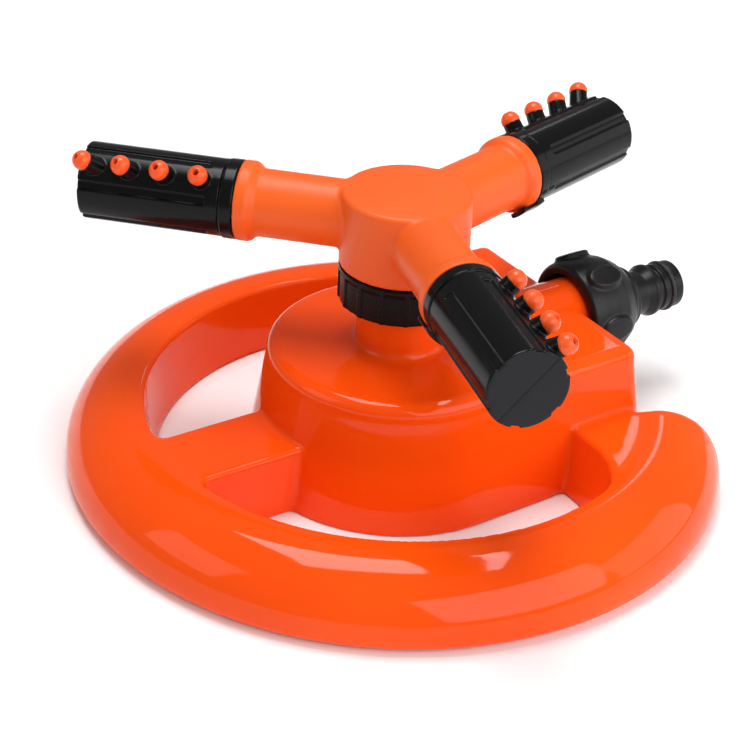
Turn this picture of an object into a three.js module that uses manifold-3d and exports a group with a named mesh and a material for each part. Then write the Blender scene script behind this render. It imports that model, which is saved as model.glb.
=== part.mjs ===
// Three-arm rotary lawn sprinkler on a moulded ring base. Millimetres, +Z up.
// Origin: rotor axis where it meets the ground. +X runs out along the hose inlet.
import * as THREE from 'three';
import { mergeVertices } from 'three/addons/utils/BufferGeometryUtils.js';
import Module from 'manifold-3d';

const wasm = await Module();
wasm.setup();

// ---------------------------------------------------------------- driving sizes
const CLEAR = 0.3;            // play kept between any two pieces that move or slip together
const SEAT = 0.1;             // gap left where one face rests on another

const BASE_R = 103.8;         // ring, outside radius
const RING_W = 24.6;          // ring, width of the tread
const SHOULDER = 22;          // ring, width of its rounded outer shoulder
const WIDEST_Z = 4;           // ring, height where it is widest
const TUCK = 3.6;             // ring's foot, drawn in under its widest part
const WEB_H = 21.8;           // flat top of the webs and of the ring's inner edge
const CROWN = 1.3;            // rise of the ring's crown over the webs
const WALL = 2.6;             // moulded wall
const SPOKE_HALF = 13;        // half width of the rear spoke
const WINDOW_X = 37;          // front end of the two windows
const DRUM_R = 41.2;          // drum, radius at its top
const DECK_H = 41.8;          // drum and deck, height
const DECK_X = 61;            // deck, front wall
const DRAFT = 0.17;           // wall draft, mm per mm of height
const EDGE = 5;               // rounded top edge of the drum and deck
const RISER_R = 13.6;         // neck that carries the rotor
const NECK_L = 19;            // height of the neck over the drum

const INLET_DROP = 8.5;       // inlet axis, below the deck's top
const TUBE_R = 11.8;          // inlet spigot, root of its thread
const TUBE_BORE = 8.6;        // inlet spigot, bore
const DUCT_BORE = 5.9;        // water duct from the spigot to the riser
const NUT_WALL = 4;           // union nut, wall over its thread
const NUT_L = 24.8;           // union nut, length
const NIPPLE_R = 7.97;        // quick-connect nipple, nose radius
const NIPPLE_OUT = 19.9;      // nipple, length clear of the nut

const COLLAR_WALL = 5;        // swivel collar, wall over its thread
const COLLAR_H = 12;          // swivel collar, height
const STEM_R = 8.8;           // rotor stem above its flange
const HEAD_H = 24.6;          // rotor head, height
const ARM_RISE = 13.1;        // arm axes, above the head's underside
const ARM_AZ = 15;            // azimuth of the first arm, degrees
const ARM_R = 10.4;           // arm tube, outside radius
const ARM_REACH = 50.9;       // rotor axis to the arm's flange face
const BARREL_STEP = 1.5;      // spray barrel, outside radius over the arm's
const BARREL_L = 48.8;        // spray barrel, length
const SPRAY = 47;             // spouts, degrees above level
const SPOUT_R = 2.7;          // spout, outside radius
const SPOUT_OUT = 3.4;        // barrel skin to the jet ball's centre
const JET_R = 3.05;           // ball tip of a jet
const ARMS = 3;
const JETS = 4;               // jets on each barrel
const THREAD_PITCH = 2.4;
const THREAD_GAP = 1.2;       // male thread's root to the female thread's valley

// ---------------------------------------------------------------- small tools
const rad = THREE.MathUtils.degToRad;
const moved = (g, x, y, z) => g.clone().translate(x, y, z);

// Solid of revolution about Z from [radius, z] pairs; a ring profile is given closed.
function lathe(profile, segments) {
  const pts = profile.map(([r, z]) => new THREE.Vector2(r, z));
  return new THREE.LatheGeometry(pts, segments).rotateX(Math.PI / 2);
}

// Closed ring profile: the first point is repeated at the end.
const loop = (profile) => [...profile, profile[0]];

// Solid through a stack of outlines, each { z, points }, all with the same point count.
function loft(layers) {
  const n = layers[0].points.length;
  const pos = [];
  for (const { z, points } of layers) for (const [x, y] of points) pos.push(x, y, z);
  const index = [];
  for (let k = 0; k + 1 < layers.length; k++) {
    for (let i = 0; i < n; i++) {
      const a = k * n + i, b = k * n + ((i + 1) % n);
      index.push(a, b, b + n, a, b + n, a + n);
    }
  }
  const cap = (k, flip) => {
    const ring = layers[k].points.map(([x, y]) => new THREE.Vector2(x, y));
    for (const [a, b, c] of THREE.ShapeUtils.triangulateShape(ring, [])) {
      index.push(k * n + a, k * n + (flip ? c : b), k * n + (flip ? b : c));
    }
  };
  cap(0, true);
  cap(layers.length - 1, false);
  const g = new THREE.BufferGeometry();
  g.setAttribute('position', new THREE.Float32BufferAttribute(pos, 3));
  g.setIndex(index);
  return g;
}

// Points on an arc, both ends included.
function arc(cx, cy, r, from, to, steps) {
  const out = [];
  for (let i = 0; i <= steps; i++) {
    const a = from + ((to - from) * i) / steps;
    out.push([cx + r * Math.cos(a), cy + r * Math.sin(a)]);
  }
  return out;
}

const box = (x0, x1, y0, y1, z0, z1) =>
  moved(new THREE.BoxGeometry(x1 - x0, y1 - y0, z1 - z0),
    (x0 + x1) / 2, (y0 + y1) / 2, (z0 + z1) / 2);

function solid(geometry) {
  let g = geometry.index ? geometry.toNonIndexed() : geometry.clone();
  g.deleteAttribute('normal');
  g.deleteAttribute('uv');
  g = mergeVertices(g, 1e-4);
  return new wasm.Manifold(new wasm.Mesh({
    numProp: 3,
    vertProperties: new Float32Array(g.attributes.position.array),
    triVerts: new Uint32Array(g.index.array),
  }));
}

function fused(...pieces) {
  return pieces.map((p) => (p instanceof THREE.BufferGeometry ? solid(p) : p))
    .reduce((a, b) => a.add(b));
}

function cut(body, ...tools) {
  return tools.reduce((a, t) => a.subtract(t instanceof THREE.BufferGeometry ? solid(t) : t),
    body instanceof THREE.BufferGeometry ? solid(body) : body);
}

function geometryOf(manifold) {
  const m = manifold.simplify(0.02).getMesh();
  const g = new THREE.BufferGeometry();
  const xyz = new Float32Array(m.numVert * 3);
  for (let i = 0; i < m.numVert; i++) {
    for (let k = 0; k < 3; k++) xyz[3 * i + k] = m.vertProperties[m.numProp * i + k];
  }
  g.setAttribute('position', new THREE.BufferAttribute(xyz, 3));
  g.setIndex(new THREE.BufferAttribute(new Uint32Array(m.triVerts), 1));
  return g;
}

const part = new THREE.Group();
part.name = 'sprinkler';

const ORANGE = { color: 0xf2561b, roughness: 0.28, metalness: 0 };
const SATIN_ORANGE = { color: 0xf0602a, roughness: 0.42, metalness: 0 };
const BLACK = { color: 0x232426, roughness: 0.38, metalness: 0 };
const RUBBER = { color: 0x161616, roughness: 0.8, metalness: 0 };
const ACETAL = { color: 0xe9e6dc, roughness: 0.45, metalness: 0 };

function place(name, shape, look) {
  const g = shape instanceof THREE.BufferGeometry ? shape : geometryOf(shape);
  const mesh = new THREE.Mesh(g, new THREE.MeshStandardMaterial(look));
  mesh.name = name;
  part.add(mesh);
}

// Turns a solid built about Z so that it lies along +X.
const alongX = (g) => g.clone().rotateY(Math.PI / 2);

// ---------------------------------------------------------------- base shell
const DECK_Y = DRUM_R;                                   // the deck is as wide as the drum
const NOTCH = Math.atan2(DECK_Y + 2, DECK_X + 2);        // half angle of the gap in the ring
const CORNER = BASE_R * 0.12;                            // rounding of the ring's two ends
const WINDOW_R = BASE_R - RING_W;                        // outer edge of the windows
const TREAD_H = WEB_H + CROWN;

// Outline of the base seen from above, drawn in by the given inset: a round plate with a
// wedge missing at the inlet side.
function plateOutline(inset) {
  const reach = Math.sqrt((BASE_R - CORNER) ** 2 - CORNER ** 2);
  const d = [Math.cos(NOTCH), Math.sin(NOTCH)];
  const c = [d[0] * reach - d[1] * CORNER, d[1] * reach + d[0] * CORNER];
  const turn = Math.atan2(c[1], c[0]);
  const start = [DECK_X * 0.4 * d[0] - d[1] * inset, DECK_X * 0.4 * d[1] + d[0] * inset];
  const upper = [start, ...arc(c[0], c[1], CORNER - inset, NOTCH - Math.PI / 2, turn, 4)];
  const lower = upper.map(([x, y]) => [x, -y]).reverse();
  const past = turn + rad(4);                            // beyond here the tread's own section rules
  const rim = arc(0, 0, BASE_R - inset + 7, past, 2 * Math.PI - past, 16);
  return [...upper, ...rim, ...lower];
}

// Outline of the drum with the deck running out of it.
function deckOutline(inset) {
  const r = 5;
  return [
    ...arc(0, 0, DRUM_R - inset, Math.PI / 2, 1.5 * Math.PI, 20),
    ...arc(DECK_X - r, -(DECK_Y - r), r - inset, -Math.PI / 2, 0, 3),
    ...arc(DECK_X - r, DECK_Y - r, r - inset, 0, Math.PI / 2, 3),
  ];
}

// Opening between the ring, the rear spoke and the drum, on the +Y or -Y side, at height z.
// Its outer wall and its front end have draft.
function windowOutline(side, grow, z) {
  const drawn = DRAFT * (WEB_H - z);
  const outerR = WINDOW_R - drawn, frontX = WINDOW_X - drawn;
  const big = RING_W * 0.58, small = 4;
  const c1 = [frontX - big, Math.sqrt((outerR - big) ** 2 - (frontX - big) ** 2)];
  const c2 = [-Math.sqrt((outerR - small) ** 2 - (SPOKE_HALF + small) ** 2), SPOKE_HALF + small];
  const t1 = Math.atan2(c1[1], c1[0]), t2 = Math.atan2(c2[1], c2[0]);
  const pts = [
    [frontX + grow, SPOKE_HALF - grow],
    ...arc(c1[0], c1[1], big + grow, 0, t1, 5),
    ...arc(0, 0, outerR + grow, t1, t2, 18).slice(1, -1),
    ...arc(c2[0], c2[1], small + grow, t2, 1.5 * Math.PI, 3),
  ];
  return side > 0 ? pts : pts.map(([x, y]) => [x, -y]).reverse();
}

// Section of the plate: flat webs, crowned tread, a long elliptical shoulder, tucked-in foot.
function plateProfile(inset, floor) {
  const crest = BASE_R - SHOULDER;
  const shoulder = [0, 1, 2, 3, 4, 5, 6].map((k) => {
    const a = (k / 6) * (Math.PI / 2);
    return [crest + (SHOULDER - inset) * Math.sin(a),
      WIDEST_Z + (TREAD_H - inset - WIDEST_Z) * Math.cos(a)];
  });
  const foot = [2.4, 1.2, floor].map((z) =>
    [BASE_R - inset - TUCK * ((WIDEST_Z - Math.max(0, z)) / WIDEST_Z) ** 2, z]);
  return [[0, WEB_H - inset], [WINDOW_R - 5, WEB_H - inset], [WINDOW_R, WEB_H + CROWN * 0.5 - inset],
    ...shoulder, ...foot, [0, floor]].reverse();
}

// Everything inside the base's skin drawn in by the given inset.
function envelope(inset, floor) {
  const edge = [0, 0.5, 1].map((t) => t * Math.PI / 2);
  const rounded = (outline, height, r) => [
    { z: floor, points: outline(inset) },
    ...edge.map((a) => ({
      z: height - inset - r + r * Math.sin(a),
      points: outline(inset + r * (1 - Math.cos(a)) * (inset ? 0.4 : 1)),
    })),
  ];
  const plate = solid(loft(rounded(plateOutline, TREAD_H + 0.2, 4)))
    .intersect(solid(lathe(plateProfile(inset, floor), 48)));
  const windows = [1, -1].map((side) => loft([floor - 1, TREAD_H + 2].map((z) =>
    ({ z, points: windowOutline(side, inset, z) }))));
  const drum = rounded(deckOutline, DECK_H, EDGE - inset);
  drum[0].points = deckOutline(inset - DRAFT * (DECK_H - EDGE));
  const flare = { z: WEB_H, points: deckOutline(inset - DRAFT * (DECK_H - EDGE - WEB_H)) };
  drum.splice(1, 0, flare);
  return cut(plate, ...windows).add(solid(loft(drum)));
}

const skin = envelope(0, 0);
const hollow = envelope(WALL, -1);

// Stiffening ribs under the tread, kept clear of the ground.
const ribs = [];
for (let k = 0; k < 10; k++) {
  const a = NOTCH + rad(11) + ((2 * Math.PI - 2 * NOTCH - rad(22)) * k) / 9;
  ribs.push(box(WINDOW_R, BASE_R - 1, -0.9, 0.9, 7, TREAD_H).rotateZ(a));
}
const inside = envelope(WALL / 2, 5);

// Riser, duct and inlet spigot, moulded in one with the shell.
const RISER_TOP = DECK_H + NECK_L;
const INLET_Z = DECK_H - INLET_DROP;
const spigotEnd = DECK_X + 17.5;
const nutMouth = DECK_X + 4.7;
function ridged(from, to, root, height, width) {
  const pts = [];
  for (let z = from; z <= to - width; z += THREAD_PITCH) {
    pts.push([root, z - width / 2], [root + height, z], [root, z + width / 2]);
  }
  return pts;
}
const riser = lathe([
  [0, INLET_Z], [RISER_R + 3, INLET_Z + 3], [RISER_R + 3, DECK_H - 0.5],
  [RISER_R + 0.8, DECK_H + 0.8], [RISER_R, DECK_H + 2.5],
  ...ridged(RISER_TOP - 3.6, RISER_TOP, RISER_R, 0.9, 1.2),
  [RISER_R, RISER_TOP - 0.4], [RISER_R - 0.4, RISER_TOP], [0, RISER_TOP],
], 32);
const DUCT_R = INLET_DROP - 0.4;                         // duct stays under the deck's top
const duct = alongX(lathe([[0, -DUCT_R], [DUCT_R, -DUCT_R], [DUCT_R, spigotEnd - 4],
  [0, spigotEnd - 4]], 20)).translate(0, 0, INLET_Z);
const spigot = alongX(lathe([
  [0, DECK_X - 15], [TUBE_R, DECK_X - 15], [TUBE_R, nutMouth + 1],
  ...ridged(nutMouth + 2.6, spigotEnd - 2, TUBE_R, 1.1, 1.2),
  [TUBE_R, spigotEnd - 0.6], [TUBE_R - 0.5, spigotEnd], [0, spigotEnd],
], 30)).translate(0, 0, INLET_Z);
const foot = lathe([[0, 0], [7, 0], [8, INLET_Z - 4], [0, INLET_Z - 4]], 16);
const RISER_BORE = 6.6;
const waterway = [
  lathe([[0, INLET_Z - DUCT_BORE], [RISER_BORE, INLET_Z - DUCT_BORE], [RISER_BORE, RISER_TOP + 1],
    [0, RISER_TOP + 1]], 24),
  alongX(lathe([[0, 0], [DUCT_BORE, 0], [DUCT_BORE, spigotEnd - 9], [0, spigotEnd - 9]], 20))
    .translate(0, 0, INLET_Z),
  alongX(lathe([[0, DECK_X - 8], [TUBE_BORE, DECK_X - 6], [TUBE_BORE, spigotEnd + 1],
    [0, spigotEnd + 1]], 24)).translate(0, 0, INLET_Z),
];
const ribbing = fused(...ribs).intersect(inside);
const baseShell = cut(fused(skin.subtract(hollow), ribbing, riser, duct, spigot, foot), ...waterway);
place('base_shell', baseShell, ORANGE);

// ---------------------------------------------------------------- inlet union
const washerX = spigotEnd + SEAT, washerT = 2;
const flangeX = washerX + washerT + SEAT, flangeT = 2;
const ring = (r0, r1, z0, z1, n) => lathe(loop([[r0, z0], [r1, z0], [r1, z1], [r0, z1]]), n);
place('nut_washer', alongX(ring(TUBE_BORE - 0.6, TUBE_R + 0.7, washerX, washerX + washerT, 24))
  .translate(0, 0, INLET_Z), RUBBER);

// Sieve disc held in the spigot's mouth by the washer.
const sieveHoles = [];
for (let i = -2; i <= 2; i++) {
  for (let j = -2; j <= 2; j++) {
    if (Math.hypot(i, j) > 2.2) continue;
    sieveHoles.push(box(-1, 4, i * 2.7 - 1, i * 2.7 + 1, j * 2.7 - 1, j * 2.7 + 1));
  }
}
const sieveR = TUBE_BORE - 0.25;
const sieve = cut(alongX(lathe([[0, 0], [sieveR, 0], [sieveR, 2.4], [sieveR - 0.9, 2.4],
  [sieveR - 0.9, 1], [0, 1]], 24)), ...sieveHoles).translate([spigotEnd - 2.5, 0, INLET_Z]);
place('inlet_sieve', sieve, ACETAL);

const nutEnd = nutMouth + NUT_L;
const nutBore = TUBE_R + THREAD_GAP + 0.2;               // valley of the nut's thread
const NUT_R = nutBore + NUT_WALL;
const neckR = NIPPLE_R * 0.92;
const shoulder = flangeX + flangeT + CLEAR;
const nutBody = lathe(loop([
  [nutBore, nutMouth], [NUT_R - 1.4, nutMouth], [NUT_R - 0.7, nutMouth + 0.8],
  [NUT_R, nutMouth + 5], [NUT_R, nutMouth + 10.5], [NUT_R - 0.9, nutMouth + 15],
  [NUT_R - 3.1, nutMouth + 19], [NUT_R - 5.8, nutMouth + 21.6], [NUT_R - 6.5, nutMouth + 22.2],
  [NUT_R - 6.9, nutEnd - 0.6], [NUT_R - 7.4, nutEnd], [neckR + CLEAR, nutEnd],
  [neckR + CLEAR, shoulder], [nutBore, shoulder],
  ...ridged(nutMouth + 3.8, spigotEnd - 3, nutBore, -0.9, 1).reverse(),
]), 30);
const lobes = [];
for (let k = 0; k < 6; k++) {
  const pad = new THREE.SphereGeometry(1, 8, 5).scale(3.2, 4.3, 7.2)
    .translate(NUT_R - 0.9, 0, nutMouth + 9.4);
  lobes.push(cut(solid(pad), lathe([[0, 0], [NUT_R - 2.2, 0], [NUT_R - 2.2, nutEnd],
    [0, nutEnd]], 24)).rotate([0, 0, 60 * k + 3]));
}
const nutUpright = fused(nutBody, ...lobes);
place('inlet_nut', nutUpright.rotate([0, 90, 0]).translate([0, 0, INLET_Z]), BLACK);

// Nipple: clamped flange, neck through the nut, locking ridge, nose with O-ring groove.
const tip = nutEnd + NIPPLE_OUT;
const groove = tip - 5.1;                                // start of the nose O-ring groove
const nipple = lathe(loop([
  [NIPPLE_R - 2.7, flangeX], [TUBE_R + 0.3, flangeX], [TUBE_R + 0.3, flangeX + flangeT],
  [neckR, flangeX + flangeT], [neckR, nutEnd + 5.8], [NIPPLE_R + 0.55, nutEnd + 8],
  [NIPPLE_R + 0.8, nutEnd + 8.4], [NIPPLE_R + 0.8, nutEnd + 9.8], [NIPPLE_R + 0.5, nutEnd + 10.2],
  [neckR - 0.1, nutEnd + 10.6], [neckR - 0.1, nutEnd + 12], [NIPPLE_R, nutEnd + 12.4],
  [NIPPLE_R, groove], [NIPPLE_R - 1.1, groove], [NIPPLE_R - 1.1, groove + 2], [NIPPLE_R, groove + 2],
  [NIPPLE_R, tip - 0.7], [NIPPLE_R - 0.7, tip], [NIPPLE_R - 2.7, tip],
]), 24);
place('hose_nipple', alongX(nipple).translate(0, 0, INLET_Z), BLACK);
const oring = (centre, r, z, n) => {
  const pts = arc(0, 0, r, 0, 2 * Math.PI, 6).slice(0, -1).map(([x, y]) => [centre + x, z + y]);
  return lathe(loop(pts), n);
};
place('nipple_oring', alongX(oring(NIPPLE_R - 0.2, 0.75, groove + 1, 20))
  .translate(0, 0, INLET_Z), RUBBER);

// ---------------------------------------------------------------- swivel
const sealT = 1, stemFlangeT = 2, thrustT = 0.9;
const sealZ = RISER_TOP + SEAT;
const stemFlangeZ = sealZ + sealT + SEAT;
const thrustZ = stemFlangeZ + stemFlangeT + SEAT;
const lipZ = thrustZ + thrustT + SEAT;
const collarZ = RISER_TOP - 4;
const collarTop = collarZ + COLLAR_H;
const stemFlangeR = RISER_R - 0.9;
const stemTop = collarTop + 6;
const noseR = RISER_BORE - CLEAR;
const stemBore = noseR - 1.7;

place('riser_seal', ring(RISER_BORE + 0.4, stemFlangeR, sealZ, sealZ + sealT, 24), RUBBER);
place('thrust_washer', ring(STEM_R + CLEAR, stemFlangeR, thrustZ, thrustZ + thrustT, 24), ACETAL);

const noseGroove = RISER_TOP - 4;
place('rotor_stem', lathe(loop([
  [stemBore, RISER_TOP - 10], [noseR - 0.5, RISER_TOP - 10], [noseR, RISER_TOP - 9.4],
  [noseR, noseGroove - 2], [noseR - 1, noseGroove - 2], [noseR - 1, noseGroove], [noseR, noseGroove],
  [noseR, stemFlangeZ], [stemFlangeR, stemFlangeZ], [stemFlangeR, stemFlangeZ + stemFlangeT],
  [STEM_R, stemFlangeZ + stemFlangeT], [STEM_R, stemTop - 0.6], [STEM_R - 0.6, stemTop],
  [stemBore, stemTop],
]), 24), ACETAL);
place('stem_oring', oring(noseR - 0.4, 0.45, noseGroove - 1, 20), RUBBER);

// Ribbed collar screwed on the riser; its lip holds the stem's flange down.
const collarBore = RISER_R + THREAD_GAP;
const COLLAR_R = collarBore + COLLAR_WALL;
const collarBody = lathe(loop([
  [collarBore, collarZ], [COLLAR_R - 0.5, collarZ], [COLLAR_R, collarZ + 0.5],
  [COLLAR_R, collarTop - 0.5], [COLLAR_R - 0.5, collarTop], [STEM_R + CLEAR, collarTop],
  [STEM_R + CLEAR, lipZ], [collarBore, lipZ],
  ...ridged(collarZ + 1.6, RISER_TOP - 0.5, collarBore, -0.8, 1).reverse(),
]), 32);
const scallops = [];
for (let k = 0; k < 16; k++) {
  scallops.push(box(COLLAR_R - 0.7, COLLAR_R + 2, -2.9, 2.9, collarZ - 1, collarTop - 2)
    .rotateZ(rad(22.5 * k + 4)));
}
place('swivel_collar', cut(collarBody, ...scallops), BLACK);

// ---------------------------------------------------------------- rotor head
const headZ = collarTop + 0.4;
const headTop = headZ + HEAD_H;
const headR = COLLAR_R;
const ARM_Z = headZ + ARM_RISE;
const BARREL_R = ARM_R + BARREL_STEP;
const SOCKET = STEM_R + 0.15;
const ARM_BORE = 6.6;
const JOURNAL_R = BARREL_R - 2.5;                        // turns inside the barrel
const JOURNAL_L = 11;
const FLANGE_R = BARREL_R + 0.4;
const FLANGE_L = 5.6;
const ringAt = ARM_REACH + 6.5;                          // journal O-ring groove

const hub = lathe([
  [0, headZ], [headR - 0.6, headZ], [headR - 0.2, headZ + 0.6], [headR, headTop - 4.2],
  [headR - 0.5, headTop - 2.4], [headR - 1.9, headTop - 1.1], [headR - 5, headTop - 0.3],
  [headR / 3, headTop], [0, headTop],
], 36);
const armProfile = [
  [0, 0], [ARM_R + 0.7, 0], [ARM_R + 0.3, headR + 1], [ARM_R, headR + 7],
  [ARM_R, ARM_REACH - FLANGE_L - 0.6], [FLANGE_R - 0.5, ARM_REACH - FLANGE_L + 1.6],
  [FLANGE_R, ARM_REACH - FLANGE_L + 2.4], [FLANGE_R, ARM_REACH], [JOURNAL_R, ARM_REACH],
  [JOURNAL_R, ringAt], [JOURNAL_R - 1.3, ringAt], [JOURNAL_R - 1.3, ringAt + 2],
  [JOURNAL_R, ringAt + 2], [JOURNAL_R, ARM_REACH + JOURNAL_L - 0.8],
  [JOURNAL_R - 0.8, ARM_REACH + JOURNAL_L], [0, ARM_REACH + JOURNAL_L],
];
const armAngles = Array.from({ length: ARMS }, (_, k) => ARM_AZ + (360 / ARMS) * k);
const arms = armAngles.map((a) => alongX(lathe(armProfile, 20)).rotateZ(rad(a))
  .translate(0, 0, ARM_Z));
const armBores = armAngles.map((a) => alongX(lathe([[0, 0], [ARM_BORE, 0],
  [ARM_BORE, ARM_REACH + JOURNAL_L + 1], [0, ARM_REACH + JOURNAL_L + 1]], 18))
  .rotateZ(rad(a)).translate(0, 0, ARM_Z));
const socket = lathe([[0, headZ - 1], [SOCKET, headZ - 1], [SOCKET, stemTop + 0.3],
  [ARM_BORE + 0.9, stemTop + 1], [ARM_BORE + 0.9, headTop - 5], [0, headTop - 4]], 28);
place('rotor_head', cut(fused(hub, ...arms), socket, ...armBores), SATIN_ORANGE);

// ---------------------------------------------------------------- spray barrels
// Drawn lying along +X with the spouts in the X-Z plane, then turned and set on each arm.
const barrelBore = JOURNAL_R + CLEAR;
const barrelX = ARM_REACH + 0.2, barrelEnd = ARM_REACH + BARREL_L;
const BAND = 5.2;                                        // plain collar band at the inner end

// Round outline with six shallow lengthwise flutes, none of them in the spouts' line.
function barrelOutline() {
  const pts = [];
  for (let k = 0; k < 6; k++) {
    const mid = rad(60 * k + 30);
    for (const [da, depth] of [[-9, 0], [-5, 0.75], [5, 0.75], [9, 0]]) {
      pts.push([(BARREL_R - depth) * Math.cos(mid + rad(da)),
        (BARREL_R - depth) * Math.sin(mid + rad(da))]);
    }
    for (const da of [19, 30, 41]) {
      pts.push([BARREL_R * Math.cos(mid + rad(da)), BARREL_R * Math.sin(mid + rad(da))]);
    }
  }
  return pts;
}
const shrink = (pts, by) => pts.map(([x, y]) => {
  const k = 1 - by / Math.hypot(x, y);
  return [x * k, y * k];
});

// Jet ball centres along the arm, fanned outwards from the hub.
const jetStep = (BARREL_L - 12.8) / (JETS - 1);
const spouts = Array.from({ length: JETS }, (_, i) => ({
  x: ARM_REACH + 10.9 + jetStep * i, lean: rad(4 + 11 * i), r: BARREL_R + SPOUT_OUT,
}));
const JET_SEAT = 0.9;                                    // spout face, below the ball's centre
const aimed = (g, s) => g.clone().rotateY(s.lean).translate(s.x, 0, s.r);

function barrelBody() {
  const fluted = alongX(loft([
    { z: barrelX + BAND, points: barrelOutline() },
    { z: barrelEnd - 0.6, points: barrelOutline() },
    { z: barrelEnd, points: shrink(barrelOutline(), 0.6) },
  ]));
  const band = alongX(lathe([[0, barrelX], [BARREL_R + 0.1, barrelX], [BARREL_R + 0.35, barrelX + 0.4],
    [BARREL_R + 0.35, barrelX + BAND - 1], [BARREL_R - 0.4, barrelX + BAND - 0.6],
    [BARREL_R - 0.4, barrelX + BAND + 0.2], [0, barrelX + BAND + 0.2]], 24));
  const tubes = spouts.map((s) => aimed(lathe([[0, -7.5], [SPOUT_R + 0.25, -7.5],
    [SPOUT_R, -JET_SEAT], [0, -JET_SEAT]], 12), s));
  // Hook that reaches back over the arm's flange, on the side away from the spouts.
  const over = FLANGE_R + CLEAR, back = ARM_REACH - FLANGE_L;
  const hookRing = alongX(lathe(loop([[ARM_R + 0.5, back - 1.4], [ARM_R + 0.5, back - 2.2],
    [over + 0.9, back - 2.2], [over + 1.7, back - 0.8], [over + 1.7, barrelX + 2],
    [over + 0.2, barrelX + 3.6], [over - 1.4, barrelX + 3], [over - 1.4, barrelX],
    [over, barrelX], [over, back - 0.4]]), 36));
  const wedge = box(back - 4, barrelX + 5, -4.2, 4.2, -(FLANGE_R + 5), -(ARM_R - 2));
  const hook = solid(hookRing).intersect(solid(wedge));
  const core = alongX(lathe([[0, barrelX - 1], [barrelBore + 0.5, barrelX - 1],
    [barrelBore, barrelX + 0.5], [barrelBore, barrelEnd - 2.6], [0, barrelEnd - 2.6]], 24));
  const bores = spouts.map((s) => aimed(lathe([[0, -8], [1.65, -8], [1.65, 1], [0, 1]], 8), s));
  return cut(fused(fluted, band, ...tubes, hook), core, ...bores);
}

// Ball-tipped jet: shank in the spout's bore, fine water hole through the ball.
function jetBody() {
  const rim = Math.sqrt(JET_R ** 2 - JET_SEAT ** 2);
  const dome = [0.55, 1.05].map((a) => [JET_R * Math.cos(a), JET_R * Math.sin(a)]);
  const fall = -JET_SEAT + SEAT / 2;
  return lathe(loop([[0.5, -4.6], [1.1, -4.6], [1.4, -3.9], [1.4, fall], [rim, fall], [JET_R, 0],
    ...dome, [0.5, JET_R - 0.1]]), 10);
}

const barrel = barrelBody();
const jet = jetBody();
const jets = spouts.map((s) => aimed(jet, s));
armAngles.forEach((a, k) => {
  // Spouts lean up and to the arm's left, so the water drives the rotor clockwise.
  const tilt = -(90 - SPRAY);
  place(`barrel_${k + 1}`, barrel.rotate([tilt, 0, 0]).rotate([0, 0, a])
    .translate([0, 0, ARM_Z]), BLACK);
  const set = (g) => g.clone().rotateX(rad(tilt)).rotateZ(rad(a)).translate(0, 0, ARM_Z);
  place(`journal_oring_${k + 1}`, set(alongX(oring(JOURNAL_R - 0.5, 0.65, ringAt + 1, 20))), RUBBER);
  jets.forEach((g, i) => place(`jet_${k + 1}_${i + 1}`, set(g), SATIN_ORANGE));
});

export default part;
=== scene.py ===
# ---- Frame and camera -------------------------------------------------------------------
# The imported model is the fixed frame: +Z up the rotor's axis, +X out along the hose inlet.
# The camera stands on the spoke's side, away from the inlet, and looks down across the ring.
import math

import bpy
import numpy as np
from mathutils import Euler, Matrix, Vector


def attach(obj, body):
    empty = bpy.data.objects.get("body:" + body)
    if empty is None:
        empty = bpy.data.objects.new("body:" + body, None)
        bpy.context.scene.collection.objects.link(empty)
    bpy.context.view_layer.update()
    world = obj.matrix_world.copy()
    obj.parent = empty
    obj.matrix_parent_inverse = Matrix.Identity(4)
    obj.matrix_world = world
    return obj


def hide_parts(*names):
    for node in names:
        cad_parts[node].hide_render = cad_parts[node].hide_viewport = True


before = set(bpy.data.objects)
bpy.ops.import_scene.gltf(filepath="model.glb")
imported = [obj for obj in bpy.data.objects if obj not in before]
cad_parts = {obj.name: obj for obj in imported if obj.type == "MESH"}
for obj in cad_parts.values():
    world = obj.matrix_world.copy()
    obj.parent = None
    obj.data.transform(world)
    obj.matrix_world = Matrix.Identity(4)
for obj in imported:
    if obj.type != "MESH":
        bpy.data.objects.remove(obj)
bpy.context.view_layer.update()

lens = bpy.data.cameras.new("camera")
lens.lens = 94.33
lens.sensor_width = 36
camera = bpy.data.objects.new("camera", lens)
camera.location = (-0.3046, -0.4335, 0.3451)
camera.rotation_euler = Euler([math.radians(a) for a in (59.083, -2.475, -32.864)])
bpy.context.scene.collection.objects.link(camera)
bpy.context.scene.camera = camera

# ---- Studio -----------------------------------------------------------------------------
# A white paper floor and a pale room. Soft boxes hang overhead, in front of the piece, far
# behind it and at both sides, and the glossy base shows them as clear-edged patches.
bpy.context.scene.view_settings.view_transform = "Standard"
floor_mesh = bpy.data.meshes.new("floor")
floor_mesh.from_pydata([(-6, -6, 0), (6, -6, 0), (6, 6, 0), (-6, 6, 0)], [], [(0, 1, 2, 3)])
floor = bpy.data.objects.new("floor", floor_mesh)
bpy.context.scene.collection.objects.link(floor)
paper = bpy.data.materials.new("paper")
paper.use_nodes = True
paper_shader = paper.node_tree.nodes["Principled BSDF"]
paper_shader.inputs["Base Color"].default_value = (0.97, 0.97, 0.97, 1)
paper_shader.inputs["Roughness"].default_value = 0.9
paper_shader.inputs["Specular IOR Level"].default_value = 0.1
floor_mesh.materials.append(paper)


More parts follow.
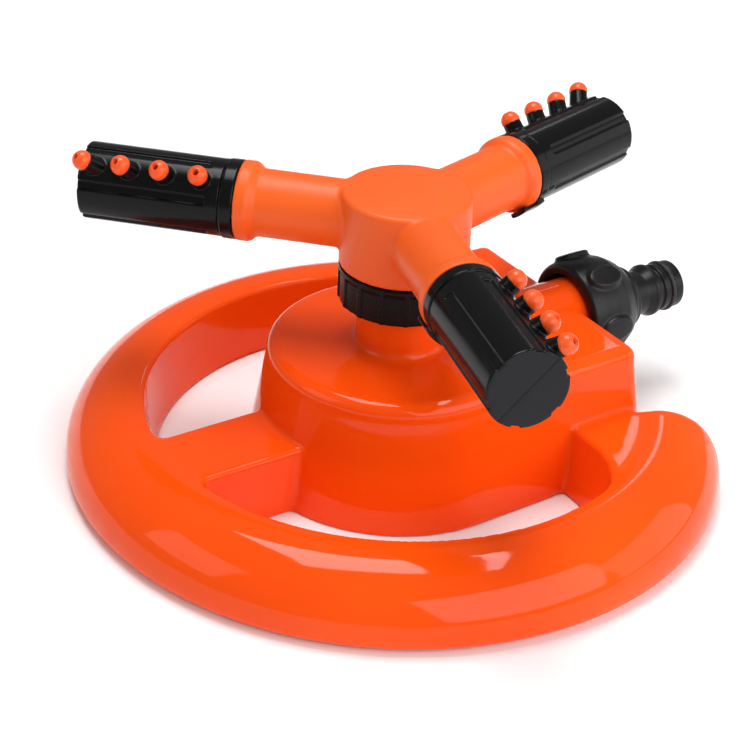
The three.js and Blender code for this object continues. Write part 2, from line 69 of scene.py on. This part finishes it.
def softbox(name, at, aim, turn, size, glow):
    """A soft box at a place, facing another, turned about its own axis, all in metres and
    degrees. Its glow is its brightness, whatever its size."""
    light = bpy.data.lights.new(name, "AREA")
    light.shape = "RECTANGLE"
    light.size, light.size_y = size
    light.energy = glow * math.pi * size[0] * size[1]
    lamp = bpy.data.objects.new(name, light)
    at, aim = Vector(at), Vector(aim)
    facing = (aim - at).to_track_quat("-Z", "Y").to_matrix().to_4x4()
    lamp.matrix_world = (Matrix.Translation(at) @ facing
                         @ Matrix.Rotation(math.radians(turn), 4, "Z"))
    bpy.context.scene.collection.objects.link(lamp)


softbox("overhead_box", (0.02, 0.27, 1.22), (0.02, 0.27, 0), 62, (0.72, 0.5), 9)
softbox("overhead_strip", (0.48, 0.12, 1.22), (0.48, 0.12, 0), 69, (0.88, 0.075), 9)
softbox("front_box", (0.23, -1.3, 0.72), (0, 0, 0.02), 0, (1.55, 1.15), 2.8)
softbox("back_box", (1.22, 1.2, 1.07), (0.06, -0.05, 0.02), 0, (0.14, 0.14), 3.5)
softbox("left_box", (-1.35, 0.35, 0.8), (0, 0, 0.05), 0, (0.8, 0.8), 1.6)
softbox("right_box", (1.35, -0.75, 0.5), (0, 0, 0.03), 0, (1.1, 0.9), 1.3)

room = bpy.data.worlds.new("room")
room.use_nodes = True
room.node_tree.nodes["Background"].inputs["Color"].default_value = (1, 1, 1, 1)
room.node_tree.nodes["Background"].inputs["Strength"].default_value = 0.25
bpy.context.scene.world = room

# ---- Base -------------------------------------------------------------------------------
# One injection-moulded shell in glossy orange ABS, open underneath: the ring, its rear
# spoke, the drum with the deck that carries the inlet, the riser, duct and inlet spigot.
MM = 0.001


def fold(a, b, r):
    """Both at once: the corner where shapes a and b meet, rounded to radius r, in mm."""
    return np.minimum(-r, np.maximum(a, b)) + np.hypot(np.maximum(a + r, 0), np.maximum(b + r, 0))


def join(a, b, r):
    """Either one: shapes a and b together, with a fillet of radius r where they meet."""
    return -fold(-a, -b, r)


def mould(name, shape, low, high, step):
    """A mesh of the surface where shape(x, y, z) is 0, in mm: a point in each cell that the
    surface crosses, slid onto it, and a quad round each crossed edge of the grid."""
    axes = [np.arange(a, b + step, step) for a, b in zip(low, high)]
    x, y, z = np.meshgrid(*axes, indexing="ij", sparse=True)
    depth = np.ascontiguousarray(np.broadcast_to(shape(x, y, z), [len(a) for a in axes]))
    within = depth < 0
    size = [len(a) - 1 for a in axes]
    corners = [(i, j, k) for i in (0, 1) for j in (0, 1) for k in (0, 1)]
    part = [slice(None, -1), slice(1, None)]
    held = sum(within[part[i], part[j], part[k]].astype(np.int8) for i, j, k in corners)
    cell = np.argwhere((held > 0) & (held < 8))
    number = np.full(size, -1, dtype=np.int64)
    number[tuple(cell.T)] = np.arange(len(cell))
    total, count = np.zeros((len(cell), 3)), np.zeros(len(cell))
    for a in corners:
        for axis in range(3):
            if a[axis]:
                continue
            b = tuple(a[n] + (n == axis) for n in range(3))
            da, db = depth[tuple((cell + a).T)], depth[tuple((cell + b).T)]
            crossed = (da < 0) != (db < 0)
            along = np.where(crossed, da / np.where(crossed, da - db, 1), 0)
            point = cell + np.array(a)
            point = point + along[:, None] * np.eye(3)[axis]
            total += point * crossed[:, None]
            count += crossed
    points = total / count[:, None] * step + np.array(low)
    nudge, least_slope, longest_move = 0.02, 0.2, 0.45 * step
    for _ in range(3):
        here = shape(*points.T)
        slope = np.stack([(shape(*(points + nudge * d).T) - shape(*(points - nudge * d).T))
                          / (2 * nudge) for d in np.eye(3)], 1)
        move = -here[:, None] * slope / np.maximum((slope ** 2).sum(1), least_slope)[:, None]
        far = np.maximum(np.abs(move).max(1) / longest_move, 1)
        points = points + move / far[:, None]
    quads = []
    for axis in range(3):
        u, v = [n for n in range(3) if n != axis]
        lower = [slice(None)] * 3
        upper = [slice(None)] * 3
        lower[axis], upper[axis] = slice(None, -1), slice(1, None)
        a, b = within[tuple(lower)], within[tuple(upper)]
        for first, turned in ((a & ~b, axis == 1), (b & ~a, axis != 1)):
            edge = np.argwhere(first)
            edge = edge[(edge[:, u] > 0) & (edge[:, v] > 0) & (edge[:, u] < size[u])
                        & (edge[:, v] < size[v])]
            ring = []
            for du, dv in ((0, 0), (-1, 0), (-1, -1), (0, -1)):
                at = edge.copy()
                at[:, u] += du
                at[:, v] += dv
                ring.append(number[tuple(at.T)])
            ring = np.stack(ring, 1)
            quads.append(ring[:, ::-1] if turned else ring)
    mesh = bpy.data.meshes.new(name)
    mesh.from_pydata((points * MM).tolist(), [], np.concatenate(quads).tolist())
    mesh.shade_smooth()
    mesh.update()
    return mesh


def show(name, mesh, finish, body, replaced, matrix=None):
    """Puts a finished mesh in the scene on its body, in place of its plain solid."""
    piece = bpy.data.objects.new(name, mesh)
    if matrix is not None:
        mesh.transform(matrix)
    bpy.context.scene.collection.objects.link(piece)
    mesh.materials.clear()
    mesh.materials.append(finish)
    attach(piece, body)
    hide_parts(replaced)
    return piece


BASE_R, SHOULDER, WIDEST_Z, TUCK = 103.8, 22, 4, 3.6
WEB_H, CROWN, WALL, DRAFT = 21.8, 1.3, 2.6, 0.17
DRUM_R, DECK_H, DECK_X, DECK_DRAFT = 41.2, 41.8, 63.2, 0.11
INLET_Z, TUBE_R, RISER_R, RISER_TOP = 33.3, 11.8, 13.6, 60.8
CROWN_FROM, CROWN_RUN, SECTION_R = 76, 9, 21
NOTCH, HORN_R, HORN_EDGE = math.radians(34.4), 14, 5
WINDOW_R, WINDOW_X, WINDOW_CORNER, SPOKE = 79.2, 37, 14, 13
SPIGOT_FROM, SPIGOT_END, TUBE_BORE_FROM, TUBE_BORE = 45.5, 78.5, 54, 8.6
DUCT_R, DUCT_BORE, DUCT_END, POST_R, RISER_BORE = 8.1, 5.9, 70, 7.4, 6.6


def base_skin(x, y, z):
    """Depth under the outside of the shell: ring and webs, less the windows, plus the drum."""
    r, side = np.hypot(x, y), np.abs(y)
    rise = np.clip((r - CROWN_FROM) / CROWN_RUN, 0, 1)
    crown = WEB_H + CROWN * rise * rise * (3 - 2 * rise)
    foot = TUCK * (np.clip(WIDEST_Z - z, 0, 8) / WIDEST_Z) ** 2
    out = np.clip(r + foot - BASE_R + SHOULDER, 0, None) / SHOULDER
    up = np.clip(z - WIDEST_Z, 0, None) / (WEB_H + CROWN - WIDEST_Z)
    tread = fold((np.hypot(out, up) - 1) * SECTION_R, z - crown, 2)
    horn = fold(r - BASE_R - 4, x * math.sin(NOTCH) - side * math.cos(NOTCH), HORN_R)
    tread = fold(tread, horn, HORN_EDGE)
    drawn = DRAFT * (WEB_H - z)
    opening = fold(r - WINDOW_R + drawn, x - WINDOW_X + drawn, WINDOW_CORNER)
    opening = fold(opening, SPOKE - side, 4)
    tread = fold(tread, -opening, 1)
    down = np.clip(DECK_H - 5 - z, 0, None)
    flare = (DRAFT + (DECK_DRAFT - DRAFT) * np.clip(x / DECK_X, 0, 1)) * down
    drum = np.where(x < 0, r - DRUM_R - flare,
                    fold(side - DRUM_R - flare, x - DECK_X - DECK_DRAFT * down, 4))
    drum = fold(drum, z - DECK_H, 4)
    return join(tread, drum, 1.2)


def base_shape(x, y, z):
    """The whole moulding: shell, riser, spigot, duct and its post, less the water way."""
    skin = base_skin(x, y, z)
    shell = fold(fold(skin, -skin - WALL, 0.9), -z, 0.9)
    r, q = np.hypot(x, y), np.hypot(y, z - INLET_Z)
    riser = fold(fold(r - RISER_R, z - RISER_TOP, 0.5), INLET_Z - 8 - z, 1)
    spigot = fold(fold(q - TUBE_R, SPIGOT_FROM - x, 1), x - SPIGOT_END, 0.8)
    duct = fold(fold(q - DUCT_R, -x, 1), x - DUCT_END, 1)
    post = fold(fold(r - POST_R, z - INLET_Z + 4, 1), -z, 0.8)
    solid = join(join(join(shell, riser, 2.2), spigot, 1), join(duct, post, 1.5), 1.5)
    bore = fold(r - RISER_BORE, INLET_Z - 6 - z, 2)
    bore = join(bore, fold(q - DUCT_BORE, -x, 1), 0.5)
    bore = join(bore, fold(q - TUBE_BORE, TUBE_BORE_FROM - x, 1), 0.5)
    return fold(solid, -bore, 0.6)


class Wire:
    """One value on its way through a material; arithmetic on it adds the Math nodes."""

    def __init__(self, tree, socket):
        self.tree, self.socket = tree, socket

    def node(self, kind, settings=None, inputs=None, output=0):
        """Adds a node with its settings first, then the values or wires of its inputs."""
        made = self.tree.nodes.new(kind)
        for key, value in (settings or {}).items():
            setattr(made, key, value)
        for key, value in (inputs or {}).items():
            if isinstance(value, Wire):
                self.tree.links.new(value.socket, made.inputs[key])
            else:
                made.inputs[key].default_value = value
        return Wire(self.tree, made.outputs[output])

    def math(self, operation, a, b):
        return self.node("ShaderNodeMath", {"operation": operation}, {0: a, 1: b})

    def __add__(self, other):
        return self.math("ADD", self, other)

    def __radd__(self, other):
        return self.math("ADD", other, self)

    def __mul__(self, other):
        return self.math("MULTIPLY", self, other)

    def __rmul__(self, other):
        return self.math("MULTIPLY", other, self)

    def ramp(self, low, high):
        """0 below low, 1 above high, and smooth between."""
        return self.node("ShaderNodeMapRange", {"interpolation_type": "SMOOTHSTEP"},
                         {"Value": self, "From Min": low, "From Max": high})

    def mix(self, a, b):
        """Colour a where this value is 0, and b where it is 1."""
        colour = [(*c, 1) if isinstance(c, tuple) else c for c in (a, b)]
        return self.node("ShaderNodeMix", {"data_type": "RGBA"},
                         {0: self, 6: colour[0], 7: colour[1]}, 2)


def finish(name):
    """A new material: its Principled shader and a wire that carries the object's place."""
    material = bpy.data.materials.new(name)
    material.use_nodes = True
    tree = material.node_tree
    shader = tree.nodes["Principled BSDF"]
    place = Wire(tree, tree.nodes.new("ShaderNodeTexCoord").outputs["Object"])
    return material, shader, place


def feed(shader, **values):
    """Links or sets the shader's sockets; a name's underscores stand for its spaces."""
    for key, value in values.items():
        socket = shader.inputs[key.replace("_", " ")]
        if isinstance(value, Wire):
            value.tree.links.new(value.socket, socket)
        else:
            socket.default_value = (*value, 1) if isinstance(value, tuple) else value


def grain(place, per_mm, detail=2.0, roughness=0.5):
    """Soft cloudy noise; per_mm is how many of its lumps fit in a millimetre."""
    return place.node("ShaderNodeTexNoise", None, {"Vector": place, "Scale": per_mm / MM,
                      "Detail": detail, "Roughness": roughness})


def bumped(height, strength, distance_mm):
    """A normal that lifts the surface by the height wire, up to a distance in mm."""
    return height.node("ShaderNodeBump", None, {"Height": height, "Strength": strength,
                       "Distance": distance_mm * MM})


def orange_plastic(name, colour, deep, gloss, index, peel_mm):
    """Moulded ABS: faint flow marks in the colour, fine orange peel and hairline scuffs. The
    index sets how much it reflects, and peel_mm how deep the orange peel is."""
    material, shader, place = finish(name)
    flow = grain(place, 0.018, 3).ramp(0.3, 0.75)
    scuff = grain(place.node("ShaderNodeMapping", None, {"Vector": place, "Scale": (1, 9, 3)}),
                  0.06, 4, 0.65).ramp(0.62, 0.8)
    peel = grain(place, 0.55, 2)
    feed(shader, Base_Color=flow.mix(deep, colour), Roughness=gloss + flow * 0.03 + scuff * 0.06,
         Normal=bumped(peel * 0.8 + scuff * 0.2, 0.08, peel_mm), IOR=index)
    return material


gloss_orange = orange_plastic("gloss_orange", (0.92, 0.087, 0.004), (0.9, 0.072, 0.003),
                              0.05, 1.31, 0.08)
base = mould("base", base_shape, (-105, -105, -2), (84, 105, 63), 1.2)
show("base", base, gloss_orange, "base", "base_shell")

# ---- Swivel collar ----------------------------------------------------------------------
# A black ABS ring screwed on the riser, with sixteen narrow grip ribs left between shallow
# sunken panels. Its plain lip holds the rotor's stem down.
COLLAR_R, COLLAR_Z, COLLAR_H = 19.8, 56.8, 12
RIBS, PANEL_HALF, PANEL_DEPTH = 16, 2.9, 0.5
LIP_Z, LIP_R, THREAD_R = 65.5, 9.1, 14.9


def collar_shape(x, y, z):
    r = np.hypot(x, y)
    ring = fold(r - COLLAR_R, np.abs(z - COLLAR_Z - COLLAR_H / 2) - COLLAR_H / 2, 0.5)
    step = 2 * math.pi / RIBS
    turn = (np.arctan2(y, x) - math.radians(4) + step / 2) % step - step / 2
    panel = fold(np.abs(r * np.sin(turn)) - PANEL_HALF, COLLAR_R - PANEL_DEPTH - r, 0.2)
    panel = fold(panel, z - COLLAR_Z - COLLAR_H + 2, 0.4)
    bore = np.where(z < LIP_Z, r - THREAD_R, r - LIP_R)
    return fold(fold(ring, -panel, 0.25), -bore, 0.3)


def black_plastic(name, colour, gloss, strength, index):
    """Black ABS off a spark-eroded tool: even satin grain, faint rubbing and dust."""
    material, shader, place = finish(name)
    spark = grain(place, 2.2, 2, 0.6)
    rub = grain(place, 0.09, 4, 0.6).ramp(0.55, 0.8)
    dust = grain(place, 1.1, 3, 0.7).ramp(0.68, 0.86)
    pale = tuple(c * 1.9 + 0.006 for c in colour)
    feed(shader, Base_Color=(rub * 0.35 + dust * 0.2).mix(colour, pale),
         Roughness=gloss + spark * 0.06 + rub * 0.06, IOR=index,
         Normal=bumped(spark + rub * 0.15, strength, 0.03))
    return material


collar_black = black_plastic("collar_black", (0.0032, 0.003, 0.003), 0.24, 0.06, 1.22)
collar = mould("collar", collar_shape, (-21, -21, 56), (21, 21, 70), 0.45)
show("collar", collar, collar_black, "base", "swivel_collar")

# ---- Union nut --------------------------------------------------------------------------
# A black ABS nut with a domed back and six oval grips, screwed on the spigot. It clamps the
# hose nipple's flange against a rubber washer.
NUT = ((65.7, 15.9), (66.3, 16.6), (68, 17), (70.7, 17.2), (76.2, 17.2), (80.7, 16.3),
       (84.7, 14.1), (87.3, 11.6), (88.1, 10.7), (90.5, 10.3))
NUT_MID, NUT_HALF, SHOULDER_X, MOUTH_R, NECK_R = 78.1, 12.4, 82.8, 13.2, 7.65
GRIPS, GRIP_TURN, GRIP_X, GRIP_LONG, GRIP_WIDE = 6, math.radians(58), 74.2, 6.2, 4.2
GRIP_TOP, GRIP_OUT, GRIP_LEAN = 18.8, 1.7, 0.06
nut_x = np.arange(62, 96, 0.1)
nut_r = np.interp(nut_x, *zip(*NUT))
nut_r = np.convolve(np.pad(nut_r, 6, mode="edge"), np.ones(13) / 13, mode="valid")


def nut_shape(x, y, z):
    h = z - INLET_Z
    q = np.hypot(y, h)
    skin = q - np.interp(x, nut_x, nut_r)
    body = fold(skin * 0.8, np.abs(x - NUT_MID) - NUT_HALF, 0.7)
    step = 2 * math.pi / GRIPS
    turn = (np.arctan2(h, y) - GRIP_TURN + step / 2) % step - step / 2
    along, across = (x - GRIP_X) / GRIP_LONG, q * np.sin(turn) / GRIP_WIDE
    grip = fold((np.hypot(along, across) - 1) * GRIP_WIDE, q * np.cos(turn) - GRIP_TOP, 0.9)
    grip = fold(grip, skin - GRIP_OUT - GRIP_LEAN * (x - 70), 1)
    body = join(body, grip, 0.8)
    bore = np.where(x < SHOULDER_X, q - MOUTH_R, q - NECK_R)
    return fold(body, -bore, 0.5)


satin_black = black_plastic("satin_black", (0.006, 0.006, 0.0062), 0.32, 0.1, 1.34)
nut = mould("nut", nut_shape, (64.5, -20, INLET_Z - 20), (92, 20, INLET_Z + 20), 0.5)
show("nut", nut, satin_black, "union_nut", "inlet_nut")

# ---- Hose nipple ------------------------------------------------------------------------
# A turned-looking black ABS moulding: flange inside the nut, neck, locking ridge for a hose
# connector's claws, and a nose with an O-ring. Its sizes are the common quick-connect ones.


def eased(points, radius, steps=5):
    """A closed outline with its corners rounded off, as (along, out) pairs."""
    path = []
    for k, corner in enumerate(points):
        here = np.array(corner, dtype=float)
        ends = []
        for other in (points[k - 1], points[(k + 1) % len(points)]):
            way = np.array(other) - here
            size = np.hypot(*way)
            ends.append(here + way / size * min(radius, size * 0.45))
        for t in np.linspace(0, 1, steps):
            path.append((1 - t) ** 2 * ends[0] + 2 * t * (1 - t) * here + t * t * ends[1])
    return path


def turned(name, outline, radius, turns=96):
    """A ring turned about +X from a closed outline of (along, out) pairs, in mm."""
    path = eased(outline, radius)
    count = len(path)
    spin = [2 * math.pi * k / turns for k in range(turns)]
    points = [(a * MM, q * math.cos(t) * MM, q * math.sin(t) * MM) for t in spin for a, q in path]
    faces = [(k * count + i, k * count + (i + 1) % count,
              (k + 1) % turns * count + (i + 1) % count, (k + 1) % turns * count + i)
             for k in range(turns) for i in range(count)]
    mesh = bpy.data.meshes.new(name)
    mesh.from_pydata(points, [], faces)
    mesh.shade_smooth()
    mesh.update()
    return mesh


def set_on_inlet():
    return Matrix.Translation((0, 0, INLET_Z * MM))


nipple = turned("nipple", [(80.8, 5.3), (80.8, 12.0), (82.7, 12.0), (82.7, 7.35), (96.2, 7.35),
                           (98.5, 8.5), (98.9, 8.78), (100.3, 8.78), (100.8, 8.3), (101.0, 7.25),
                           (102.4, 7.25), (102.9, 7.97), (105.3, 7.97), (105.3, 6.9), (107.3, 6.9),
                           (107.3, 7.97), (110.4, 7.97), (110.4, 5.3)], 0.32)
show("nipple", nipple, satin_black, "base", "hose_nipple", set_on_inlet())


def rubber_finish(name):
    """Black nitrile rubber: dull, a little grey with bloom, with a fine skin."""
    material, shader, place = finish(name)
    bloom = grain(place, 0.5, 4, 0.65).ramp(0.4, 0.75)
    feed(shader, Base_Color=bloom.mix((0.008, 0.008, 0.008), (0.03, 0.029, 0.028)),
         Roughness=0.5 + bloom * 0.2, Normal=bumped(grain(place, 3, 3), 0.25, 0.04))
    return material


rubber = rubber_finish("rubber")
bead = [(106.3 + 0.92 * math.cos(t), 7.68 + 0.92 * math.sin(t))
        for t in np.linspace(0, 2 * math.pi, 12, endpoint=False)]
show("nose_ring", turned("nose_ring", bead, 0.2), rubber, "base", "nipple_oring",
     set_on_inlet())

# ---- Seals, washers, sieve and stem -----------------------------------------------------
# Small parts inside the union, the swivel and the arms: rubber seals keep the plain turned
# shapes that they have, and the sieve, stem and thrust washer are natural acetal.


def acetal_finish(name):
    """Natural acetal: waxy off-white with a hint of depth and fine tool marks."""
    material, shader, place = finish(name)
    cloud = grain(place, 0.25, 3).ramp(0.3, 0.7)
    rings = place.node("ShaderNodeTexWave", {"wave_type": "RINGS", "rings_direction": "Z"},
                       {"Vector": place, "Scale": 900.0, "Distortion": 0.6})
    feed(shader, Base_Color=cloud.mix((0.72, 0.69, 0.61), (0.83, 0.81, 0.75)),
         Roughness=0.34 + cloud * 0.1, Normal=bumped(rings, 0.12, 0.03))
    return material


acetal = acetal_finish("acetal")
for names, look in ((("nut_washer", "riser_seal", "stem_oring", "journal_oring_1",
                      "journal_oring_2", "journal_oring_3"), rubber),
                    (("inlet_sieve", "thrust_washer", "rotor_stem"), acetal)):
    for name in names:
        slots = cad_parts[name].material_slots
        for k in range(len(slots)):
            slots[k].link = "OBJECT"
            slots[k].material = look

# ---- Rotor head -------------------------------------------------------------------------
# One hollow moulding in satin orange ABS: a low drum with a faintly domed cap and three arm
# tubes. Each arm ends in a flange and a journal that its spray barrel turns on.
HEAD_Z, HEAD_TOP, ARM_Z, ARM_R, ARM_REACH = 69.2, 93.8, 82.3, 10.4, 50.9
ARM_AZ = (15, 135, 255)
FLANGE_R, JOURNAL_R, BARREL_R, JOURNAL_END = 12.3, 9.4, 11.9, 61.9
FLANGE_FROM, CONE_FROM, ARM_BORE, RING_X, RING_FLOOR = 44.4, 45, 6.6, 58.4, 8.1
STEM_BORE, STEM_FROM, STEM_TOP, STEM_SEAT, SEAT_TOP = 7.5, 74.5, 89, 8.95, 75
DOME, HUB_EDGE, ARM_FILLET = 1.6, 1.2, 1.1


def arm_shape(u, v, w):
    """One arm tube along +u, with its flange and journal."""
    q = np.hypot(v, w)
    tube = fold(q - ARM_R, np.abs(u - 25) - 25, 0.5)
    cone = fold(q - ARM_R - (u - CONE_FROM), q - FLANGE_R, 0.9)
    flange = fold(fold(cone, u - ARM_REACH, 0.5), FLANGE_FROM - u, 0.5)
    journal = fold(fold(q - JOURNAL_R, u - JOURNAL_END, 0.8), 40 - u, 0.5)
    return join(join(tube, flange, 0.7), journal, 0.2)


def head_shape(x, y, z):
    r = np.hypot(x, y)
    cap = HEAD_TOP - DOME * (r / COLLAR_R) ** 2
    hub = fold(fold(r - COLLAR_R, z - cap, HUB_EDGE), HEAD_Z - z, 0.5)
    inner = fold(fold(r - STEM_BORE, z - STEM_TOP, 1), STEM_FROM - z, 0.5)
    inner = join(inner, fold(r - STEM_SEAT, z - SEAT_TOP, 0.3), 0.3)
    for angle in ARM_AZ:
        c, s = math.cos(math.radians(angle)), math.sin(math.radians(angle))
        u, v, w = x * c + y * s, y * c - x * s, z - ARM_Z
        q = np.hypot(v, w)
        hub = join(hub, fold(arm_shape(u, v, w), 5 - u, 1), ARM_FILLET)
        inner = join(inner, fold(q - ARM_BORE, -u, 0.5), 0.5)
        groove = fold(fold(q - 12, np.abs(u - RING_X) - 1, 0.1), RING_FLOOR - q, 0.1)
        inner = join(inner, groove, 0.05)
    return fold(hub, -inner, 0.5)


satin_orange = orange_plastic("satin_orange", (0.86, 0.122, 0.012), (0.84, 0.107, 0.009),
                              0.4, 1.38, 0.08)
head = mould("head", head_shape, (-50, -63, 68.2), (64, 50, 96), 0.62)
show("head", head, satin_orange, "rotor", "rotor_head")

# ---- Spray barrels ----------------------------------------------------------------------
# Each arm carries a black ABS barrel, closed at the outer end, that turns on the journal to
# set the throw: six shallow flutes, a plain band, four spouts and a hook behind the flange.
JOINT, BARREL_END, BAND = 51.1, 99.7, 5.2
SPRAY = 47
SPOUT_X, LEAN, BALL_OUT = (61.8, 73.8, 85.8, 97.8), (4, 15, 26, 37), 15.3
FLUTES, FLUTE_HALF, FLUTE_DEPTH, FLUTE_GAP = 6, 1.3, 0.6, 3.4
SPOUT_R, SPOUT_DRAFT, SPOUT_TOP, SPOUT_FOOT, SPOUT_BORE = 2.85, 0.04, 0.75, 8.5, 1.6
HOOK_R, HOOK_IN, HOOK_X, HOOK_HALF, HOOK_WIDE = 13.4, 12.65, 49, 4.5, 3.4
CORE_R, CORE_END = 9.7, 97.1


def spout_axes():
    """Each spout's place along the barrel, and the sine and cosine of its lean."""
    return [(x, math.sin(math.radians(a)), math.cos(math.radians(a)))
            for x, a in zip(SPOUT_X, LEAN)]


def barrel_shape(x, y, z):
    q = np.hypot(y, z)
    step = 2 * math.pi / FLUTES
    turn = (np.arctan2(y, z) + step) % step - step / 2
    across = np.abs(q * np.sin(turn))
    flute = fold(across - FLUTE_HALF, BARREL_R - FLUTE_DEPTH - q, 0.2)
    flute = fold(flute, JOINT + BAND + FLUTE_GAP - x, 0.3)
    skin = fold(fold(q - BARREL_R, -flute, 0.3), x - BARREL_END, 0.8)
    skin = fold(skin, JOINT + BAND - 0.8 - x, 0.1)
    neck = fold(q - BARREL_R + 0.55, np.abs(x - JOINT - BAND + 0.5) - 1.5, 0.1)
    band = fold(q - BARREL_R - 0.35, np.abs(x - JOINT - 2.1) - 2.1, 0.45)
    body = join(join(skin, neck, 0.12), band, 0.12)
    seam = fold(fold(np.abs(y) - 0.16, BARREL_END - 0.35 - x, 0.05), q - BARREL_R + 0.4, 0.3)
    body = fold(body, -seam, 0.12)
    pipes = 0
    for k, (at, sin, cos) in enumerate(spout_axes()):
        u, w = (x - at) * cos - (z - BALL_OUT) * sin, (x - at) * sin + (z - BALL_OUT) * cos
        p = np.hypot(u, y)
        pipe = fold(p - SPOUT_R - SPOUT_DRAFT * np.clip(-w, 0, 4), w + SPOUT_TOP, 0.3)
        body = join(body, fold(pipe, -SPOUT_FOOT - w, 0.3), 0.25)
        hole = fold(p - SPOUT_BORE, -9 - w, 0.2)
        pipes = hole if k == 0 else np.minimum(pipes, hole)
    hook = fold(fold(q - HOOK_R, HOOK_IN - q, 0.3), np.abs(x - HOOK_X) - HOOK_HALF, 0.4)
    tooth = fold(fold(q - 13.3, 11.9 - q, 0.3), np.abs(x - 45.2) - 0.7, 0.3)
    root = fold(fold(q - 13.3, 10.9 - q, 0.3), np.abs(x - 53) - 1.9, 0.3)
    hook = join(join(hook, tooth, 0.3), root, 0.3)
    hook = fold(fold(hook, np.abs(y) - HOOK_WIDE, 0.6), z, 0.2)
    body = join(body, hook, 0.3)
    core = fold(q - CORE_R, x - CORE_END, 0.5)
    return fold(fold(body, -core, 0.3), -pipes, 0.15)


def black_with_painted_end(name):
    """Barrel plastic: satin on the sides, and a duller, lighter grey end face whose lighter colour
    is a painted highlight on the end face and the outer part of its rounded rim.
    """
    material, shader, place = finish(name)
    spark = grain(place, 2.2, 2, 0.6)
    rub = grain(place, 0.09, 4, 0.6).ramp(0.55, 0.8)
    side = place.node("ShaderNodeSeparateXYZ", None, {0: place})
    # The end face and the outer part of its rounded rim are painted lighter grey as a painted
    # highlight, and are also made rougher.
    end_face_painted_highlight = side.ramp(0.09935, 0.0995)
    shade = (rub * 0.4).mix((0.004, 0.004, 0.0045), (0.011, 0.011, 0.012))
    feed(shader, Base_Color=end_face_painted_highlight.mix(shade, (0.018, 0.018, 0.021)), IOR=1.25,
         Roughness=0.15 + spark * 0.05 + rub * 0.06 + end_face_painted_highlight * 0.5,
         Normal=bumped(spark + rub * 0.15 + end_face_painted_highlight * spark, 0.1, 0.03))
    return material


def jet_outline():
    """A jet's section: shank, ball and countersunk water hole, as (along, out) pairs."""
    ball = [(3.05 * math.sin(t), 3.05 * math.cos(t)) for t in np.linspace(-0.29, 1.19, 12)]
    return [(-4.6, 1.35), (-0.86, 1.35)] + ball + [(2.0, 0.78), (-4.6, 0.78)]


barrel_black = black_with_painted_end("barrel_black")
jet_orange = orange_plastic("jet_orange", (0.9, 0.105, 0.015), (0.86, 0.088, 0.012),
                            0.24, 1.42, 0.01)
barrel = mould("barrel", barrel_shape, (42.2, -15, -15), (101, 15, 16.5), 0.4)
jet = turned("jet", jet_outline(), 0.1, 40)
for k, angle in enumerate(ARM_AZ, 1):
    place = (Matrix.Translation((0, 0, ARM_Z * MM)) @ Matrix.Rotation(math.radians(angle), 4, "Z")
             @ Matrix.Rotation(math.radians(SPRAY - 90), 4, "X"))
    spray = show(f"spray_barrel_{k}", barrel.copy(), barrel_black, f"spray_{k}", f"barrel_{k}")
    spray.matrix_world = place
    for n, (at, sin, cos) in enumerate(spout_axes(), 1):
        tilt = Matrix.Rotation(math.atan2(sin, cos) - math.pi / 2, 4, "Y")
        tip = show(f"tip_{k}_{n}", jet.copy(), jet_orange, f"spray_{k}", f"jet_{k}_{n}")
        tip.matrix_world = place @ Matrix.Translation((at * MM, 0, BALL_OUT * MM)) @ tilt
